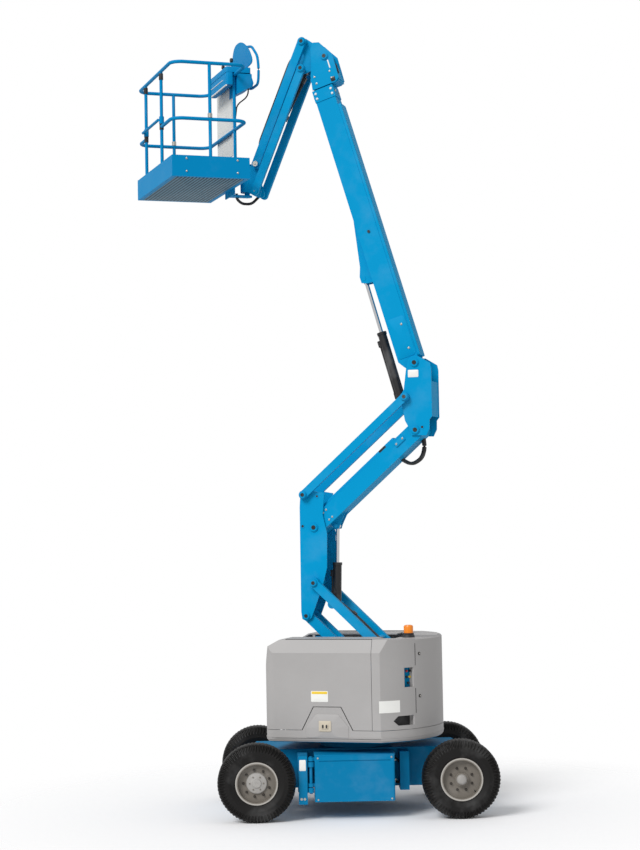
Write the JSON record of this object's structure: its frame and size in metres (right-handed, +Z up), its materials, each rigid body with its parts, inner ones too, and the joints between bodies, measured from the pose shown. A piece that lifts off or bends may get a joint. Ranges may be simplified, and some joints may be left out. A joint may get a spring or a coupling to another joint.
{
  "type": "articulated boom lift",
  "caption": "Self-propelled lift with two linked risers, a telescoping boom and a jib that holds a railed work platform level.",
  "frame": {"origin": "on the ground at the slewing axis, midway between the axles", "axes": "+X towards the steered axle, +Y towards the machine's side away from the first view, +Z up"},
  "size_m": [3.3626, 1.7993, 7.4775],
  "materials": {
    "chassis_blue": "gloss paint",
    "cover_grey": "satin paint",
    "boom_blue": "gloss paint",
    "black_parts": "satin paint",
    "rod_chrome": "polished",
    "platform_blue": "gloss paint",
    "tyre_rubber": "matte",
    "rim_grey": "satin paint",
    "lamp_amber": "gloss"
  },
  "bodies": {
    "chassis": {"chassis_frame": "chassis_blue", "slew_ring": "chassis_blue", "drive_axle": "chassis_blue", "steer_axle": "chassis_blue"},
    "steer_rod": {"steer_rod": "rod_chrome"},
    "knuckle_near": {"knuckle_near": "chassis_blue"},
    "knuckle_far": {"knuckle_far": "chassis_blue"},
    "wheel_drive_near": {"tyre_drive_near": "tyre_rubber", "rim_drive_near": "rim_grey"},
    "wheel_drive_far": {"tyre_drive_far": "tyre_rubber", "rim_drive_far": "rim_grey"},
    "wheel_steer_near": {"tyre_steer_near": "tyre_rubber", "rim_steer_near": "rim_grey"},
    "wheel_steer_far": {"tyre_steer_far": "tyre_rubber", "rim_steer_far": "rim_grey"},
    "battery_box_near": {"battery_box_near": "chassis_blue"},
    "battery_box_far": {"battery_box_far": "chassis_blue"},
    "turntable": {"turntable_frame": "chassis_blue", "counterweight": "cover_grey", "corner_panels": "cover_grey", "skirt": "cover_grey", "beacon": "lamp_amber", "engine_block": "cover_grey", "tank_block": "cover_grey"},
    "cover_near": {"cover_near": "cover_grey"},
    "cover_far": {"cover_far": "cover_grey"},
    "lower_arms": {"lower_arms": "boom_blue"},
    "lowest_links": {"lowest_links": "boom_blue"},
    "mid_tower": {"mid_tower": "boom_blue"},
    "upper_riser": {"upper_riser": "boom_blue"},
    "upper_links": {"upper_links": "boom_blue"},
    "top_tower": {"top_tower": "boom_blue"},
    "riser_barrel": {"riser_barrel": "black_parts"},
    "riser_rod": {"riser_rod": "rod_chrome"},
    "boom_outer": {"boom_outer": "boom_blue"},
    "boom_inner": {"boom_inner": "boom_blue"},
    "boom_barrel": {"boom_barrel": "black_parts"},
    "boom_rod": {"boom_rod": "rod_chrome"},
    "nose_bracket": {"nose_bracket": "boom_blue"},
    "jib_arms": {"jib_arms": "boom_blue"},
    "jib_links": {"jib_links": "boom_blue"},
    "jib_barrel": {"jib_barrel": "black_parts"},
    "jib_rod": {"jib_rod": "rod_chrome"},
    "platform_carrier": {"platform_carrier": "boom_blue"},
    "platform": {"platform_floor": "platform_blue", "platform_rails": "platform_blue", "control_box": "black_parts"},
    "platform_gate": {"platform_gate": "platform_blue"}
  },
  "joints": [
    {"name": "turntable_slew", "type": "hinge", "parent": "chassis", "child": "turntable", "pos_m": [0, 0, 0.655], "axis": [0, 0, 1], "range_deg": [-159.5, 195.5]},
    {"name": "steer_near", "type": "hinge", "parent": "chassis", "child": "knuckle_near", "pos_m": [0.94, -0.6, 0.36], "axis": [0, 0, 1], "range_deg": [-35, 35]},
    {"name": "steer_far", "type": "hinge", "parent": "chassis", "child": "knuckle_far", "pos_m": [0.94, 0.6, 0.36], "axis": [0, 0, 1], "range_deg": [-35.5, 35.5]},
    {"name": "steer_slide", "type": "slide", "parent": "chassis", "child": "steer_rod", "axis": [0, 1, 0], "range_m": [-0.093, 0.093]},
    {"name": "wheel_drive_near_spin", "type": "hinge", "parent": "chassis", "child": "wheel_drive_near", "pos_m": [-0.94, -0.75, 0.36], "axis": [0, 1, 0], "continuous": true},
    {"name": "wheel_drive_far_spin", "type": "hinge", "parent": "chassis", "child": "wheel_drive_far", "pos_m": [-0.94, 0.75, 0.36], "axis": [0, 1, 0], "continuous": true},
    {"name": "wheel_steer_near_spin", "type": "hinge", "parent": "knuckle_near", "child": "wheel_steer_near", "pos_m": [0.94, -0.75, 0.36], "axis": [0, 1, 0], "continuous": true},
    {"name": "wheel_steer_far_spin", "type": "hinge", "parent": "knuckle_far", "child": "wheel_steer_far", "pos_m": [0.94, 0.75, 0.36], "axis": [0, 1, 0], "continuous": true},
    {"name": "battery_box_near_swing", "type": "hinge", "parent": "chassis", "child": "battery_box_near", "pos_m": [-0.44, -0.735, 0.4], "axis": [0, 0, -1], "range_deg": [0, 90]},
    {"name": "battery_box_far_swing", "type": "hinge", "parent": "chassis", "child": "battery_box_far", "pos_m": [-0.44, 0.735, 0.4], "axis": [0, 0, 1], "range_deg": [0, 90]},
    {"name": "cover_near_hinge", "type": "hinge", "parent": "turntable", "child": "cover_near", "pos_m": [-0.0856, -0.26344, 1.604], "axis": [-0.9511, 0.309, 0], "range_deg": [0, 70]},
    {"name": "cover_far_hinge", "type": "hinge", "parent": "turntable", "child": "cover_far", "pos_m": [0.0856, 0.26344, 1.604], "axis": [0.9511, -0.309, 0], "range_deg": [0, 70]},
    {"name": "riser_lift", "type": "hinge", "parent": "turntable", "child": "lower_arms", "pos_m": [0.63721, -0.20704, 1.213], "axis": [0.309, 0.9511, 0], "range_deg": [-46.2, 2]},
    {"name": "lowest_links_turn", "type": "hinge", "parent": "turntable", "child": "lowest_links", "pos_m": [0.54686, -0.17769, 0.896], "axis": [0.309, 0.9511, 0], "range_deg": [-46.5, 2.3]},
    {"name": "mid_tower_level", "type": "hinge", "parent": "lower_arms", "child": "mid_tower", "pos_m": [-0.30792, 0.10005, 2.15605], "axis": [0.309, 0.9511, 0], "range_deg": [-2.3, 46.5]},
    {"name": "upper_riser_turn", "type": "hinge", "parent": "mid_tower", "child": "upper_riser", "pos_m": [-0.31267, 0.10159, 2.68705], "axis": [0.309, 0.9511, 0], "range_deg": [-2.3, 46.5]},
    {"name": "upper_links_turn", "type": "hinge", "parent": "mid_tower", "child": "upper_links", "pos_m": [-0.39827, 0.1294, 3.00205], "axis": [0.309, 0.9511, 0], "range_deg": [-2.3, 46.5]},
    {"name": "top_tower_level", "type": "hinge", "parent": "upper_riser", "child": "top_tower", "pos_m": [0.66167, -0.21499, 3.59662], "axis": [0.309, 0.9511, 0], "range_deg": [-46.5, 2.3]},
    {"name": "riser_barrel_turn", "type": "hinge", "parent": "lower_arms", "child": "riser_barrel", "pos_m": [-0.14741, 0.0479, 1.95], "axis": [0.309, 0.9511, 0], "range_deg": [-1.51, 28.18]},
    {"name": "riser_rod_slide", "type": "slide", "parent": "riser_barrel", "child": "riser_rod", "axis": [0.0257, -0.0083, 0.9996], "range_m": [-0.3128, 0.0155]},
    {"name": "boom_lift", "type": "hinge", "parent": "top_tower", "child": "boom_outer", "pos_m": [0.66547, -0.21623, 4.23763], "axis": [0.309, 0.9511, 0], "range_deg": [-73.3, 2]},
    {"name": "boom_barrel_turn", "type": "hinge", "parent": "top_tower", "child": "boom_barrel", "pos_m": [0.51235, -0.16647, 3.86563], "axis": [0.309, 0.9511, 0], "range_deg": [-65.17, 2.07]},
    {"name": "boom_rod_slide", "type": "slide", "parent": "boom_barrel", "child": "boom_rod", "axis": [-0.2616, 0.085, 0.9614], "range_m": [-0.463, 0.0146]},
    {"name": "boom_extend", "type": "slide", "parent": "boom_outer", "child": "boom_inner", "axis": [-0.2733, 0.0888, 0.9578], "range_m": [0, 1.9]},
    {"name": "nose_level", "type": "hinge", "parent": "boom_inner", "child": "nose_bracket", "pos_m": [-0.14531, 0.04721, 7.27057], "axis": [0.309, 0.9511, 0], "range_deg": [-2.3, 73.6]},
    {"name": "jib_lift", "type": "hinge", "parent": "nose_bracket", "child": "jib_arms", "pos_m": [-0.3612, 0.11736, 7.43457], "axis": [0.309, 0.9511, 0], "range_deg": [-2, 137]},
    {"name": "jib_links_turn", "type": "hinge", "parent": "nose_bracket", "child": "jib_links", "pos_m": [-0.3612, 0.11736, 7.15957], "axis": [0.309, 0.9511, 0], "range_deg": [-2.3, 137.3]},
    {"name": "platform_level", "type": "hinge", "parent": "jib_arms", "child": "platform_carrier", "pos_m": [-0.83036, 0.2698, 6.26104], "axis": [0.309, 0.9511, 0], "range_deg": [-137.3, 2.3]},
    {"name": "jib_barrel_turn", "type": "hinge", "parent": "nose_bracket", "child": "jib_barrel", "pos_m": [-0.3612, 0.11736, 7.15957], "axis": [0.309, 0.9511, 0], "range_deg": [-2.27, 135.59]},
    {"name": "jib_rod_slide", "type": "slide", "parent": "jib_barrel", "child": "jib_rod", "axis": [-0.4577, 0.1487, -0.8766], "range_m": [-0.0092, 0.4946]},
    {"name": "platform_turn", "type": "hinge", "parent": "platform_carrier", "child": "platform", "pos_m": [-0.954, 0.30997, 6.12], "axis": [0, 0, 1], "range_deg": [-125.3, 54.7]},
    {"name": "gate_lift", "type": "slide", "parent": "platform", "child": "platform_gate", "axis": [0, 0, 1], "range_m": [0, 0.38]}
  ],
  "couplings": [
    {"joint": "steer_far", "follows": "steer_near", "ratio": 1},
    {"joint": "steer_slide", "follows": "steer_near", "m_per_rad": -0.149},
    {"joint": "lowest_links_turn", "follows": "riser_lift", "ratio": 1},
    {"joint": "mid_tower_level", "follows": "riser_lift", "ratio": -1},
    {"joint": "upper_riser_turn", "follows": "riser_lift", "ratio": -1},
    {"joint": "upper_links_turn", "follows": "riser_lift", "ratio": -1},
    {"joint": "top_tower_level", "follows": "riser_lift", "ratio": 1},
    {"joint": "riser_barrel_turn", "follows": "riser_lift", "ratio": -0.60339},
    {"joint": "riser_rod_slide", "follows": "riser_lift", "m_per_rad": 0.38548},
    {"joint": "boom_barrel_turn", "follows": "boom_lift", "ratio": 0.88495},
    {"joint": "boom_rod_slide", "follows": "boom_lift", "m_per_rad": 0.36032},
    {"joint": "nose_level", "follows": "boom_lift", "ratio": -1},
    {"joint": "jib_links_turn", "follows": "jib_lift", "ratio": 1},
    {"joint": "platform_level", "follows": "jib_lift", "ratio": -1},
    {"joint": "jib_barrel_turn", "follows": "jib_lift", "ratio": 0.9875},
    {"joint": "jib_rod_slide", "follows": "jib_lift", "m_per_rad": 0.206}
  ]
}
